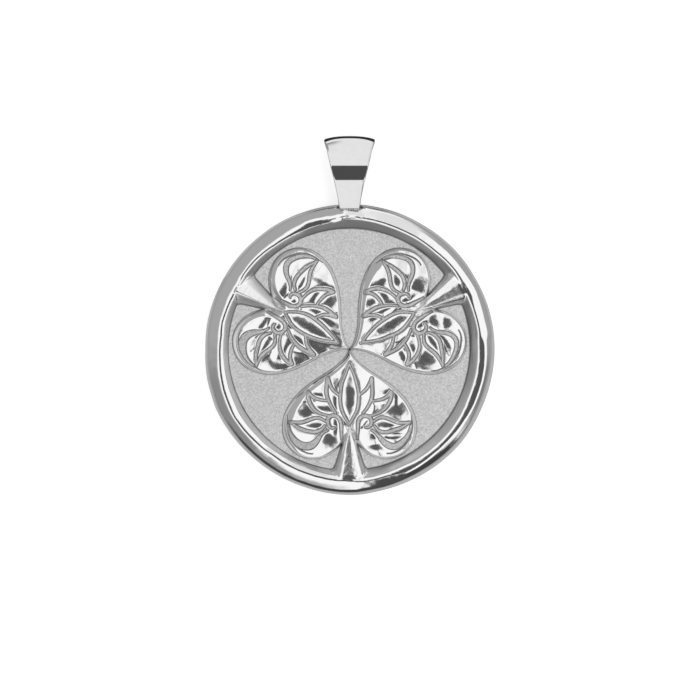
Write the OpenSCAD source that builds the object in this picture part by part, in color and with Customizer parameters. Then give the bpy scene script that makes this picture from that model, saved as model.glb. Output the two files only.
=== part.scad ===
// Coin pendant: a cast disc with a rounded rim, three domed heart leaves
// on flared stems, a palmette sunk in each leaf, and a soldered tapered bail.
// The disc lies on its flat back in the plane Z = 0, its face looks along +Z,
// its centre is the origin, and the bail stands off the rim along +Y.

/* [Coin] */
// Diameter of the coin over its rim
coin_d = 28; // [26:0.5:32]
// Height of the rim's crest above the back
rim_h = 2.4; // [2.2:0.1:2.8]
// Width of the rim, from the field to the outer edge
rim_w = 2.34; // [2:0.02:2.6]
// Height of the matte field above the back
field_h = 1.5; // [1.2:0.05:1.6]
// Rounding of the back edge
back_round = 0.35; // [0.2:0.05:0.5]

/* [Leaves] */
// Height of a leaf's dome at its highest, above the back
dome_h = 2.35; // [2.2:0.05:2.5]
// Drop of the dome from its highest point to the widest place of the leaf
dome_drop = 0.38; // [0.2:0.02:0.5]
// Depth of the palmette's lines below the dome
line_depth = 0.18; // [0.1:0.02:0.25]

/* [Bail] */
// Length of the bail from its foot on the rim to its top
bail_h = 7.02; // [6.5:0.02:8]
// Thickness of the bail's strip
strip_t = 0.6; // [0.5:0.05:0.7]
// Outer radius of the fold that the chain hangs in
fold_r = 1.6; // [1.5:0.05:1.7]
// Radius of the front leg's gentle outward curve
leg_r = 8.6; // [8:0.1:9.5]
// How far the foot laps over the front of the rim
foot_lap = 0.49; // [0.4:0.01:0.6]

/* [Hidden] */

coin_r = coin_d / 2;
// The leaf and palmette tables below are drawn for a coin of this diameter
drawn_d = 28;
fit = coin_d / drawn_d;
leaf_count = 3;
// Heading of the first leaf: its tip is at the centre, its stem points down
first_leaf = 270;
// How deep a raised part starts below the field, so that it grows out of it
root = 0.4;
// Centre of the rim's round section
crest_r = rim_w / 2;
crest_x = coin_r - crest_r;
crest_z = rim_h - crest_r;
round_fn = 128;
// Boss at the centre: its radius, and how far it stands above the lowest place of the domes
tip_join_r = 0.3;
tip_join_rise = 0.05;
// The domes are parts of large spheres, so they take more steps
dome_fn = 480;
span_steps = 8;
eps = 0.01;

// Knots of a smooth line: [across the leaf, out from the centre, heading]
HALF_LEAF = [
    [0.10, 0.00, 80],
    [0.92, 1.16, 44],
    [2.72, 2.46, 31],
    [6.53, 7.55, 90],
    [3.55, 10.58, 180],
    [0.42, 8.55, 245]
];

// Sunk lines of half a palmette: [across, out, heading, half width] knots
MIDDLE_PETAL = [[0, 1.40, 64, 0.12], [0.90, 4.80, 91, 0.15], [0, 7.15, 127, 0.12]];
FIRST_PETAL_TOP = [[2.12, 2.65, 116, 0.10], [1.62, 3.66, 120, 0.13], [0.98, 4.36, 137, 0.12]];
FIRST_PETAL_BACK = [[2.14, 2.65, 85, 0.10], [2.22, 4.10, 92, 0.15], [1.30, 6.05, 128, 0.12]];
SECOND_PETAL_TOP = [[4.10, 3.95, 130, 0.10], [3.20, 4.70, 160, 0.14], [2.25, 4.85, 184, 0.12]];
SECOND_PETAL_BACK = [[4.12, 3.95, 80, 0.10], [3.85, 5.10, 115, 0.15], [2.00, 6.35, 172, 0.12]];
THIRD_PETAL_TOP = [
    [5.75, 6.98, 178, 0.08], [4.40, 6.90, 193, 0.15], [3.10, 6.50, 182, 0.15], [2.30, 6.85, 140, 0.12]
];
THIRD_PETAL_BACK = [
    [5.75, 6.98, 150, 0.08], [4.40, 7.80, 163, 0.16], [3.10, 7.92, 195, 0.16], [2.35, 7.30, 238, 0.12]
];
VOLUTE = [
    [0.74, 8.60, 270, 0.10], [0.78, 7.20, 276, 0.15], [1.50, 6.25, 0, 0.16],
    [2.14, 6.95, 90, 0.15], [1.50, 7.45, 205, 0.10]
];
CURL = [
    [2.00, 7.85, 20, 0.10], [2.95, 8.75, 52, 0.18], [4.10, 9.35, 0, 0.42],
    [5.30, 8.55, -58, 0.36], [5.75, 7.25, -82, 0.12]
];
HALF_PALMETTE = [
    MIDDLE_PETAL, FIRST_PETAL_TOP, FIRST_PETAL_BACK, SECOND_PETAL_TOP, SECOND_PETAL_BACK,
    THIRD_PETAL_TOP, THIRD_PETAL_BACK, VOLUTE, CURL
];

// Cross-sections of a stem: [out from the centre, half width on top, half width at foot, height]
STEM = [
    [7.35, 0.04, 0.06, 2.34],
    [8.30, 0.24, 0.42, 2.42],
    [9.60, 0.36, 0.94, 2.30],
    [11.00, 0.52, 1.42, 2.24],
    [12.20, 0.66, 1.90, 2.26],
    [12.80, 0.70, 2.10, 2.30]
];

// Half widths of the bail seen from the front: [part of its length above the foot, half width]
BAIL_WIDTHS = [
    [0.000, 0.90], [0.035, 1.00], [0.130, 1.09], [0.270, 1.24], [0.405, 1.40],
    [0.540, 1.67], [0.680, 1.92], [0.820, 2.17], [0.890, 2.35], [0.935, 2.42], [0.962, 2.36]
];
// Rise of the fold's middle above its two ends
top_rise = 0.28;

// Places along Y
foot_y = coin_r - foot_lap;
top_y = foot_y + bail_h;
fold_y = top_y - fold_r;
// The front leg's arc is tangent to the fold's: the legs' crest lies this far from the fold
crest_off = 1.85;
crest_y = fold_y - crest_off;
leg_z = fold_r - sqrt(pow(leg_r - fold_r, 2) - pow(crest_off, 2));
// Lowest point of the chain's passage, clear of the rim
gap_y = coin_r + 0.45;
// Half width of the bail at its widest, and between its rounded top corners
bail_half_w = 2.42;
top_half_w = 2.2;
seam_r = 0.2;
seam_half_w = 0.8;

// A smooth curve from knot to knot that has each knot's heading there
function turn(a, b) = abs(((b[2] - a[2] + 540) % 360) - 180);
function reach(a, b) = norm([b[0] - a[0], b[1] - a[1]]) * 2 / 3 / (1 + cos(turn(a, b) / 2));
function ahead(k, far) = [k[0] + far * cos(k[2]), k[1] + far * sin(k[2])];
function on_cubic(p, t) =
    pow(1 - t, 3) * p[0] + 3 * t * pow(1 - t, 2) * p[1] + 3 * t * t * (1 - t) * p[2] + pow(t, 3) * p[3];
function cubic_slope(p, t) =
    pow(1 - t, 2) * (p[1] - p[0]) + 2 * t * (1 - t) * (p[2] - p[1]) + t * t * (p[3] - p[2]);
function handles(a, b) = [
    ahead(a, 0), ahead(a, reach(a, b)), ahead(b, -reach(a, b)), ahead(b, 0)
];
function left_of(v) = [-v[1], v[0]] / norm(v);
function ease(t) = t * t * (3 - 2 * t);

// Points of a line through knots, moved sideways by side times the half width
function line_points(knots, side) = [
    for (i = [0:len(knots) - 2])
        let (p = handles(knots[i], knots[i + 1]), w0 = knots[i][3], w1 = knots[i + 1][3])
            for (j = [(i == 0 ? 0 : 1):span_steps])
                let (t = j / span_steps, w = is_undef(w0) ? 0 : w0 + (w1 - w0) * ease(t))
                    fit * (on_cubic(p, t) + side * w * left_of(cubic_slope(p, t)))
];
function backwards(points) = [for (i = [len(points) - 1:-1:0]) points[i]];
function across(points) = [for (p = points) [-p[0], p[1]]];

module half_palmette() {
    for (knots = HALF_PALMETTE)
        polygon(concat(line_points(knots, 1), backwards(line_points(knots, -1))));
}

module palmette_outline() {
    offset(delta = eps) {
        half_palmette();
        mirror([1, 0]) half_palmette();
    }
}

module leaf_outline() {
    right = line_points(HALF_LEAF, 0);
    polygon(concat(right, backwards(across(right))));
}

// A dome over the leaf's middle, as far below its height as drop says
module dome(drop) {
    middle = 6.4 * fit;
    half = 6.5 * fit;
    r = (half * half + dome_drop * dome_drop) / (2 * dome_drop);
    translate([0, middle, dome_h - drop - r])
        sphere(r = r, $fn = dome_fn);
}

module leaf() {
    intersection() {
        difference() {
            translate([0, 0, field_h - root])
                linear_extrude(height = dome_h)
                    leaf_outline();
            difference() {
                translate([0, 0, field_h])
                    linear_extrude(height = dome_h)
                        palmette_outline();
                dome(line_depth);
            }
        }
        dome(0);
    }
}

// A bar of four-sided cross-sections that widens towards the rim
module stem() {
    rings = [
        for (s = STEM)
            let (y = s[0] * fit, low = field_h - 1.5 * root)
                [[-s[2], y, low], [s[2], y, low], [s[1], y, s[3]], [-s[1], y, s[3]]]
    ];
    points = [for (ring = rings) for (p = ring) p];
    last = len(STEM) - 1;
    sides = [
        for (i = [0:last - 1])
            for (j = [0:3])
                for (half = [0, 1])
                    let (a = 4 * i + j, b = 4 * i + (j + 1) % 4)
                        half == 0 ? [a, b + 4, a + 4] : [a, b, b + 4]
    ];
    ends = [[3, 2, 1, 0], [for (j = [0:3]) 4 * last + j]];
    polyhedron(points = points, faces = concat(sides, ends), convexity = 3);
}

// Low round boss in which the tips of the leaves run together
module tip_join() {
    cylinder(r = tip_join_r, h = dome_h - dome_drop + tip_join_rise, $fn = round_fn / 2);
}

module coin_disc() {
    rotate_extrude($fn = round_fn) {
        square([crest_x, field_h]);
        translate([crest_x, crest_z])
            circle(r = crest_r, $fn = round_fn);
        square([coin_r - back_round, crest_z]);
        translate([crest_x, back_round])
            square([crest_r, crest_z - back_round]);
        translate([coin_r - back_round, back_round])
            circle(r = back_round, $fn = round_fn);
    }
}

// Side view of the folded strip: X is the way up the bail, Y its depth
module bail_side(inset) {
    translate([fold_y, fold_r])
        circle(r = fold_r - inset, $fn = round_fn);
    intersection() {
        translate([crest_y, leg_z])
            circle(r = leg_r - inset, $fn = round_fn);
        translate([foot_y - 1, inset])
            square([fold_y - foot_y + 1, leg_r]);
    }
}

// Front view of the strip, up to the slightly arched top of its fold
module bail_front() {
    side = [for (row = BAIL_WIDTHS) [row[1], foot_y + row[0] * bail_h]];
    polygon(concat(side, [[top_half_w, top_y], [-top_half_w, top_y]], backwards(across(side))));
}

module fold_arch(inset) {
    arch_r = (bail_half_w * bail_half_w + top_rise * top_rise) / (2 * top_rise);
    translate([0, top_y - arch_r])
        circle(r = arch_r - inset, $fn = 4 * round_fn);
}

// A side view carried across the bail, well past its edges
module across_bail() {
    translate([-2 * bail_half_w, 0, 0])
        rotate([90, 0, 90])
            linear_extrude(height = 4 * bail_half_w)
                children();
}

module folded_strip() {
    tall = 3 * fold_r;
    difference() {
        intersection() {
            across_bail()
                bail_side(0);
            linear_extrude(height = tall)
                intersection() {
                    bail_front();
                    fold_arch(0);
                }
        }
        intersection() {
            across_bail()
                intersection() {
                    bail_side(strip_t);
                    translate([gap_y, 0])
                        square([bail_h, tall]);
                }
            linear_extrude(height = tall)
                fold_arch(strip_t);
        }
    }
}

// Bead of solder between the lower edge of the foot and the rim
module solder_seam() {
    seam_z = crest_z + sqrt(crest_r * crest_r - pow(foot_y - crest_x, 2));
    translate([0, foot_y, seam_z]) {
        rotate([0, 90, 0])
            cylinder(r = seam_r, h = 2 * seam_half_w, center = true, $fn = round_fn / 2);
        for (end = [-1, 1])
            translate([end * seam_half_w, 0, 0])
                sphere(r = seam_r, $fn = round_fn / 2);
    }
}

module coin() {
    color("gainsboro") coin_disc();
}

module leaves() {
    color("silver")
        for (i = [0:leaf_count - 1])
            rotate(first_leaf - 90 + i * 360 / leaf_count) {
                leaf();
                stem();
            }
    color("silver") tip_join();
}

module bail() {
    color("whitesmoke") {
        folded_strip();
        solder_seam();
    }
}

module coin_pendant() {
    coin();
    leaves();
    bail();
}

coin_pendant();
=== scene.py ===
"""Looks of a cast coin pendant: rim, field, three heart leaves with palmettes, stems and bail."""
import math

import bpy
import numpy as np
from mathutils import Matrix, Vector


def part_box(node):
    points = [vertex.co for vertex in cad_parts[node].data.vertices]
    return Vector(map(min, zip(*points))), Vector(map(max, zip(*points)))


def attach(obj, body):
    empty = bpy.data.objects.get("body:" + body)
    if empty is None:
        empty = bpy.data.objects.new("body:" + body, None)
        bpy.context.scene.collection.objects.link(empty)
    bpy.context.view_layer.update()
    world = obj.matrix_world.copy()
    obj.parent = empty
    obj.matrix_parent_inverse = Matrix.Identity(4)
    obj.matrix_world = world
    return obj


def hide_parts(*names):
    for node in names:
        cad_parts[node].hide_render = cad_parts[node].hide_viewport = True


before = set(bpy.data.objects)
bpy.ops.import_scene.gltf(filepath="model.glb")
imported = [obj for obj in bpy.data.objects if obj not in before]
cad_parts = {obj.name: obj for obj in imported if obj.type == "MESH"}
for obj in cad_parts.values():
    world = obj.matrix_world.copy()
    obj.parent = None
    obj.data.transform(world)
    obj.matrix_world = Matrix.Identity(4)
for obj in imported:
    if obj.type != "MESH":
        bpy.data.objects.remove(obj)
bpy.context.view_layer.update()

NODE = "coin_pendant"
MM = 0.001

_, high_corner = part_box(NODE)

# Sizes in millimetres. The coin's radius and the bail's top come from the frame.
COIN_R = high_corner[0] / MM
TOP_Y = high_corner[1] / MM
FIELD_H = 1.50
RIM_H = 2.40
SIDE_H = 1.20
BACK_ROUND = 0.35

# A height under everything, for places without a stem, and a gap so wide that nothing is near
NOWHERE = FIELD_H - 2.0
FAR = 9.0
# Steepness at which the rim and the stems meet the field, which turns a height into a gap
FOOT_SLOPE = 1.3
# Smallest ring of a skin, next to the point that closes it
POLE_R = 0.05

# The hand-finished rim: heading, radius of its crest, radius of the field inside it,
# width of the flat outside the crest, roundness of the fall beyond it (2 is an ellipse),
# width that is left soft inside the crest, how satin the inner slope is left, where values
# above 0.5 grey its colour as a painted shade, darker round the upper half and lighter round
# the lower half, how far the coin's edge stands out there, and how much lower the crest is
RIM = np.array((
    (0, 12.462, 11.60, 0.53, 1.5, 0.18, 0.8, 0, 0),
    (4, 12.452, 11.61, 0.5, 1.5, 0.18, 0.85, 0, 0),
    (6.5, 12.544, 11.63, 0.05, 2, 0.16, 0.9, 0, 0),
    (12, 12.515, 11.64, 0, 1.85, 0.15, 0.9, 0, 0),
    (18, 12.494, 11.66, 0.05, 1.85, 0.16, 0.9, 0, 0),
    (24, 12.507, 11.68, 0.24, 2, 0.18, 0.9, -0.02, 0),
    (30, 12.552, 11.68, 0.14, 2, 0.18, 0.9, -0.04, 0),
    (36, 12.627, 11.68, 0.03, 1.8, 0.18, 0.86, -0.01, 0),
    (42, 12.57, 11.68, 0.024, 1.8, 0.15, 0.84, 0, 0),
    (48, 12.485, 11.68, 0.015, 1.8, 0.15, 0.84, -0.01, 0),
    (60, 12.49, 11.68, 0.021, 1.8, 0.15, 0.85, -0.03, 0),
    (66, 12.471, 11.68, 0.024, 1.8, 0.14, 0.86, -0.01, 0),
    (72, 12.486, 11.68, 0.027, 1.8, 0.14, 0.88, 0.01, 0),
    (84, 12.631, 11.68, 0.015, 1.8, 0.14, 0.93, 0.02, 0),
    (91, 12.681, 11.68, 0, 1.8, 0.14, 0.95, 0.02, 0),
    (96, 12.446, 11.68, 0.1, 2, 0.14, 0.97, 0.01, 0),
    (101, 12.27, 11.68, 0.38, 1.9, 0.02, 1, 0, 0),
    (105, 12.25, 11.68, 0.46, 1.9, 0.02, 1, -0.01, 0),
    (109, 12.25, 11.68, 0.5, 1.9, 0.02, 1, -0.02, 0),
    (112.5, 12.286, 11.68, 0.2, 1.95, 0.14, 0.96, 0, 0),
    (120, 12.273, 11.68, 0, 1.9, 0.12, 0.92, -0.01, 0),
    (126, 12.273, 11.68, 0, 1.8, 0.12, 0.92, -0.04, 0),
    (132, 12.371, 11.68, 0, 1.75, 0.14, 0.92, -0.05, 0),
    (138, 12.416, 11.68, 0.04, 1.7, 0.14, 0.92, -0.04, 0),
    (144, 12.416, 11.68, 0.04, 1.6, 0.14, 0.95, -0.04, 0),
    (147, 12.357, 11.68, 0.04, 1.7, 0.13, 0.98, -0.05, 0.02),
    (151.5, 12.277, 11.68, 0.05, 1.7, 0.13, 0.98, -0.05, 0.12),
    (156, 12.247, 11.68, 0.05, 1.8, 0.13, 0.95, -0.05, 0.09),
    (162, 12.339, 11.68, 0.05, 1.7, 0.16, 0.85, -0.04, 0.06),
    (168, 12.415, 11.68, 0.05, 1.7, 0.2, 0.75, -0.04, 0.03),
    (174, 12.328, 11.67, 0.05, 1.7, 0.22, 0.65, -0.07, 0),
    (180, 12.384, 11.67, 0.05, 1.7, 0.26, 0.6, -0.1, 0),
    (186, 12.42, 11.67, 0.04, 1.72, 0.3, 0.55, -0.04, 0),
    (192, 12.517, 11.67, 0.04, 1.72, 0.38, 0.55, 0.02, 0),
    (198, 12.603, 11.67, 0.04, 1.72, 0.42, 0.5, 0.03, 0),
    (204, 12.625, 11.67, 0.04, 1.72, 0.45, 0.5, 0.09, 0),
    (210, 12.709, 11.67, 0.04, 1.72, 0.46, 0.5, 0.07, 0),
    (216, 12.661, 11.67, 0.04, 1.72, 0.44, 0.5, 0.03, 0),
    (222, 12.583, 11.67, 0.04, 1.72, 0.42, 0.5, 0, 0),
    (228, 12.562, 11.67, 0, 1.7, 0.38, 0.5, -0.03, 0),
    (234, 12.436, 11.67, 0, 1.7, 0.34, 0.5, -0.04, 0),
    (240, 12.476, 11.67, 0.03, 1.75, 0.34, 0.5, -0.05, 0),
    (252, 12.506, 11.66, 0.03, 1.75, 0.34, 0.5, -0.05, 0),
    (264, 12.556, 11.65, 0.03, 1.75, 0.34, 0.5, 0, 0),
    (270, 12.653, 11.63, 0, 1.7, 0.32, 0.5, 0.02, 0),
    (273, 12.653, 11.63, 0, 1.7, 0.32, 0.4, 0.02, 0),
    (276, 12.685, 11.62, 0.05, 1.5, 0.3, 0.3, 0, 0),
    (280, 12.655, 11.60, 0.05, 1.5, 0.28, 0.45, -0.05, 0),
    (284, 12.62, 11.60, 0.07, 1.5, 0.28, 0.55, -0.07, 0),
    (287.5, 12.595, 11.59, 0.11, 1.5, 0.28, 0.55, -0.07, 0),
    (291, 12.565, 11.58, 0.25, 1.5, 0.28, 0.55, -0.07, 0),
    (294.5, 12.542, 11.56, 0.4, 1.5, 0.28, 0.55, -0.07, 0),
    (300, 12.582, 11.56, 0.38, 1.45, 0.28, 0.55, -0.05, 0),
    (306, 12.612, 11.56, 0.28, 1.45, 0.28, 0.55, -0.03, 0),
    (312, 12.607, 11.56, 0.25, 1.45, 0.28, 0.55, -0.01, 0),
    (318, 12.632, 11.56, 0.26, 1.45, 0.28, 0.55, 0.01, 0),
    (324, 12.608, 11.56, 0.33, 1.45, 0.27, 0.55, 0, 0),
    (330, 12.584, 11.56, 0.38, 1.45, 0.26, 0.55, -0.03, 0),
    (336, 12.51, 11.56, 0.53, 1.45, 0.25, 0.6, -0.06, 0),
    (342, 12.496, 11.57, 0.54, 1.45, 0.24, 0.65, -0.04, 0),
    (348, 12.518, 11.57, 0.54, 1.45, 0.22, 0.7, -0.03, 0),
    (354, 12.51, 11.58, 0.54, 1.5, 0.2, 0.75, -0.01, 0),
    (360, 12.462, 11.60, 0.53, 1.5, 0.18, 0.8, 0, 0),
))
# Columns over which these measures are averaged
RIM_BLUR = 5
# The inner slope's fall over its soft width, its first slope beyond that, and how round it bends
SOFT_FALL = 0.2
FIRST_SLOPE = 0.3
SLOPE_BEND = 0.06
# Radii of the coin's loops: up to the first there are few, from the second to the third there are
# many, for the stems, and from the fourth they climb the inner slope
MIDDLE_TO, FIELD_FROM, FIELD_TO, SLOPE_FROM = 7.0, 7.4, 11.36, 11.42
# Radius up to which the field is dead level, and what is taken off again where a corner lifts it
LEVEL_R = 11.0
FIELD_SUNK = 0.012
# How rounded the corners are: at the field, and between rim and stem, high up and more low down
FIELD_CORNER = 0.05
STEM_CORNER = (0.04, 0.42)
# How strongly the columns are drawn together at the stems
CROWDING = 0.17
# How far under the field a stem starts to matter
STEM_NEAR = 0.6
# Where the bail is soldered to the rim, and the mound that the solder left there:
# its height, the square of its spread, and its shift to the left
SOLDER_Y = 13.3
MOUND = (0.16, 1.1, 0.6)
# How satin a stem's top is left, and how much more its sides
STEM_SATIN = (0.22, 0.40)
# How much of the satin is polished away where a stem runs into the rim
JOINT_POLISH = 0.9

# Leaves: heading, distance of the middle from the centre, height and dome of the top
LEAF_HEADINGS = (270.0, 30.0, 150.0)
LEAF_MIDDLE = 6.4
LEAF_TOP = 2.34
DOME_R = 90.0
# Sunk lines: depth, width of their sides, how near a leaf's edge they fade out, how far they
# waver, and how much polish rounds off beside them, as depth and reach
LINE_DEPTH = 0.14
LINE_SIDE = 0.09
LINE_FADE = 0.3
LINE_WAVER = 0.04
LINE_ROUND = (0.020, 0.10)
# Middle of the curl on half a leaf, and the reach of its wider ground
CURL_AT = (4.2, 9.3)
CURL_REACH = (2.0, 1.5)
# A pillow's slope, the roundness of its top, how much its half sizes grow,
# and how softly it blends with its neighbours
PILLOW_SLOPE = 0.15
PILLOW_ROUND = 1.75
PILLOW_GROWTH = 1.12
PILLOW_BLEND = 0.012
# A leaf's flank: out from the centre, width. Where it faces this heading, that part is taken off.
FLANKS = np.array((
    (0.0, 0.45), (2.0, 0.62), (4.5, 0.88), (6.5, 1.12), (9.0, 0.75), (10.6, 0.65),
))
NARROW_FACING = 330.0
NARROWER = 0.55

# Knots of a smooth line on a leaf: across it, out from the centre, heading in degrees
HALF_LEAF = (
    (0.0, -0.05, 60), (0.12, 0.05, 72), (0.92, 1.16, 44), (2.72, 2.46, 31), (6.53, 7.55, 90),
    (3.55, 10.58, 180), (0.42, 8.55, 245), (0.0, 8.10, 245),
)
# The same knots with a half width, for the sunk lines of half a palmette
HALF_PALMETTE = {
    "middle petal": ((0, 1.40, 64, 0.12), (0.90, 4.80, 91, 0.15), (0, 7.15, 127, 0.12)),
    "first petal top": (
        (2.10, 2.72, 108, 0.17), (1.68, 3.70, 122, 0.15), (0.98, 4.36, 137, 0.12),
    ),
    "first petal back": ((2.12, 2.72, 85, 0.17), (2.20, 4.10, 92, 0.17), (1.30, 6.05, 128, 0.12)),
    "second petal top": (
        (3.98, 4.05, 126, 0.17), (3.20, 4.72, 160, 0.15), (2.25, 4.88, 184, 0.12),
    ),
    "second petal back": (
        (4.00, 4.05, 82, 0.17), (3.80, 5.10, 113, 0.17), (2.00, 6.35, 172, 0.12),
    ),
    "third petal top": (
        (5.85, 6.95, 176, 0.10), (4.60, 6.98, 193, 0.17), (3.20, 6.52, 184, 0.16),
        (2.35, 6.90, 140, 0.12),
    ),
    "third petal back": (
        (5.75, 7.05, 158, 0.10), (4.60, 7.62, 163, 0.17), (3.20, 7.90, 190, 0.17),
        (2.40, 7.35, 238, 0.12),
    ),
    "volute": (
        (0.74, 8.60, 270, 0.12), (0.80, 7.20, 276, 0.17), (1.50, 6.32, 0, 0.18),
        (2.12, 6.95, 90, 0.17), (1.50, 7.45, 205, 0.12),
    ),
    "curl": (
        (2.10, 7.75, 20, 0.10), (3.00, 8.55, 58, 0.17), (4.15, 9.28, 2, 0.20),
        (5.35, 8.60, -50, 0.18), (5.92, 7.25, -82, 0.12),
    ),
    "lobe edge": (
        (6.00, 6.35, 92, 0.02), (5.98, 7.60, 97, 0.05), (5.20, 9.25, 138, 0.05),
        (3.60, 9.98, 182, 0.02),
    ),
}
# Where polishing left each leaf's pillows level: across, out, half width and half length
PILLOWS = {
    270.0: (
        (0.05, 5.00, 0.58, 1.05), (-4.20, 6.20, 0.68, 0.68), (-2.50, 5.70, 0.62, 0.32),
        (-3.10, 4.40, 0.65, 0.30), (-1.40, 5.40, 0.30, 0.60), (-3.25, 7.40, 0.58, 0.36),
        (-1.32, 7.50, 0.26, 0.62), (-1.85, 8.70, 0.80, 0.80), (4.70, 5.95, 0.78, 0.65),
        (4.50, 4.95, 0.20, 0.50), (3.85, 7.30, 0.58, 0.34), (3.80, 4.20, 0.34, 0.28),
        (2.35, 8.40, 0.30, 0.32), (2.60, 9.50, 0.42, 0.30), (4.20, 8.50, 0.45, 0.20),
    ),
    30.0: (
        (0.08, 5.15, 0.60, 1.00), (-4.55, 6.10, 0.78, 0.82), (-3.60, 7.40, 0.60, 0.32),
        (-1.40, 7.35, 0.22, 0.38), (-1.75, 8.50, 0.55, 0.45), (-2.45, 9.40, 0.50, 0.55),
        (-4.10, 8.45, 0.65, 0.30), (-3.00, 5.40, 0.40, 0.32), (-3.30, 4.15, 0.52, 0.28),
        (1.62, 4.80, 0.26, 0.65), (2.80, 5.50, 0.62, 0.38), (4.10, 5.90, 0.38, 0.70),
        (2.95, 4.15, 0.34, 0.38), (1.48, 3.50, 0.30, 0.34), (3.50, 7.32, 0.42, 0.36),
        (2.10, 8.90, 0.75, 0.80), (1.42, 7.35, 0.26, 0.55),
    ),
    150.0: (
        (0.08, 4.40, 0.66, 1.55), (-1.32, 3.20, 0.40, 0.70), (-3.05, 4.05, 0.66, 0.52),
        (-4.20, 5.35, 0.36, 0.78), (-1.55, 4.70, 0.34, 0.52), (-2.80, 5.50, 0.72, 0.32),
        (-3.00, 7.18, 0.62, 0.26), (-1.30, 7.00, 0.22, 0.22), (-1.80, 8.38, 0.62, 0.32),
        (1.50, 2.85, 0.64, 0.95), (3.50, 3.75, 0.72, 0.72), (4.80, 5.40, 0.58, 1.05),
        (1.70, 4.75, 0.34, 0.66), (3.00, 5.45, 0.82, 0.34), (3.85, 7.20, 0.58, 0.28),
        (2.40, 8.45, 0.72, 0.32), (1.60, 7.05, 0.28, 0.26),
    ),
}
# Stem: out from the centre, half width at the foot, height above the field
STEM = np.array((
    (7.35, 0.05, 0.80),
    (8.30, 0.42, 0.74),
    (9.00, 0.72, 0.72),
    (10.00, 1.00, 0.765),
    (11.00, 1.30, 0.825),
    (12.00, 1.62, 0.885),
    (12.80, 1.95, 0.900),
))
# Further out than this the coin's skin carries the stems too, as the leaves' skins do
STEM_START = 7.9
# How far past its foot a stem goes on falling, the roundness of its tilt, and its ripples
STEM_PAST = 1.5
TILT_ROUND = 0.1
STEM_RIPPLE = 0.0032
STEM_RIPPLE_FROM = 7.6
# How much wider the curl's ground is left matte in a leaf's lobes of lower and higher heading
CURL_WIDER = {270.0: (0.16, 0.12), 30.0: (0.0, 0.0), 150.0: (0.05, 0.18)}
# Each stem's level line as a part of its half width, how flat it is on its sides of lower and
# higher heading (1 is a straight slope), how far the higher one is tilted,
# and the height above the field up to which either side is left satin
STEM_SHAPE = {
    270.0: (0.13, 5.5, 6.0, 0.14, 0.62, 0.55),
    30.0: (0.02, 7.0, 8.0, 0.21, 0.62, 0.55),
    150.0: (0.38, 1.7, 1.4, 0.0, 0.62, 0.86),
}

# Bail: the strip's thickness and the rounding of its edges, outer radius of its fold and of the
# arc of its front leg, how far that arc's crest lies below the fold, how far the foot and
# the back leg lap over the coin, and how much higher the fold is at its middle than at its ends
STRIP_T = 0.60
EDGE_ROUND = 0.022
FOLD_R = 1.60
LEG_R = 8.60
CREST_OFF = 1.70
FOOT_LAP = 0.49
BACK_LAP = 0.2
TOP_RISE = 0.30
TOP_POWER = 2.6
BAIL_HALF_W = 2.42
FOOT_Y = COIN_R - FOOT_LAP
FOLD_Y = TOP_Y - FOLD_R
CREST_Y = FOLD_Y - CREST_OFF
LEG_Z = FOLD_R - math.sqrt((LEG_R - FOLD_R) ** 2 - CREST_OFF ** 2)
# Bail from the front: part of its length above the foot, half width
BAIL_WIDTHS = np.array((
    (0.000, 0.86), (0.020, 0.95), (0.077, 1.02), (0.280, 1.30), (0.427, 1.53), (0.603, 1.85),
    (0.719, 2.04), (0.866, 2.25), (0.930, 2.37), (0.960, 2.43), (0.985, 2.43), (0.995, 2.38),
    (1.000, 2.28),
))

# Bead of solder: half length, radius, height of its middle, and how much wider and higher it is
BEAD_HALF = 1.12
BEAD_R = 0.20
BEAD_Z = 2.16
BEAD_WIDE, BEAD_HIGH = 1.4, 1.1
# Solder between the bail's legs: its lowest place, how far it rises above the coin's edge,
# how hollow its free side is, how far it runs into the strip, and how much wider it is
ROOT_Z = 0.3
ROOT_RISE = 0.22
ROOT_HOLLOW = 0.30
ROOT_INTO = 0.06
ROOT_WIDER = 0.03


def ease(t):
    """3 t^2 - 2 t^3 of t held between 0 and 1."""
    t = np.clip(t, 0.0, 1.0)
    return t * t * (3.0 - 2.0 * t)


def soft_max(a, b, reach):
    """The larger of a and b with its corner rounded: (a + b + sqrt((a - b)^2 + reach^2)) / 2."""
    return (a + b + np.sqrt((a - b) ** 2 + reach * reach)) / 2.0


def ripples(x, y, length, seed, waves=14):
    """Smooth unevenness, mostly between -1 and 1: a sum of sine waves.

    Each wave has a random heading and start, and is 0.7 to 1.5 times as long as asked.
    """
    rng = np.random.default_rng(seed)
    total = np.zeros(np.broadcast(x, y).shape)
    for _ in range(waves):
        heading = rng.uniform(0, 2 * math.pi)
        turns = 2 * math.pi / (length * rng.uniform(0.7, 1.5))
        phase = rng.uniform(0, 2 * math.pi)
        total += np.sin(turns * (x * math.cos(heading) + y * math.sin(heading)) + phase)
    return total / math.sqrt(waves) / 1.6


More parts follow.
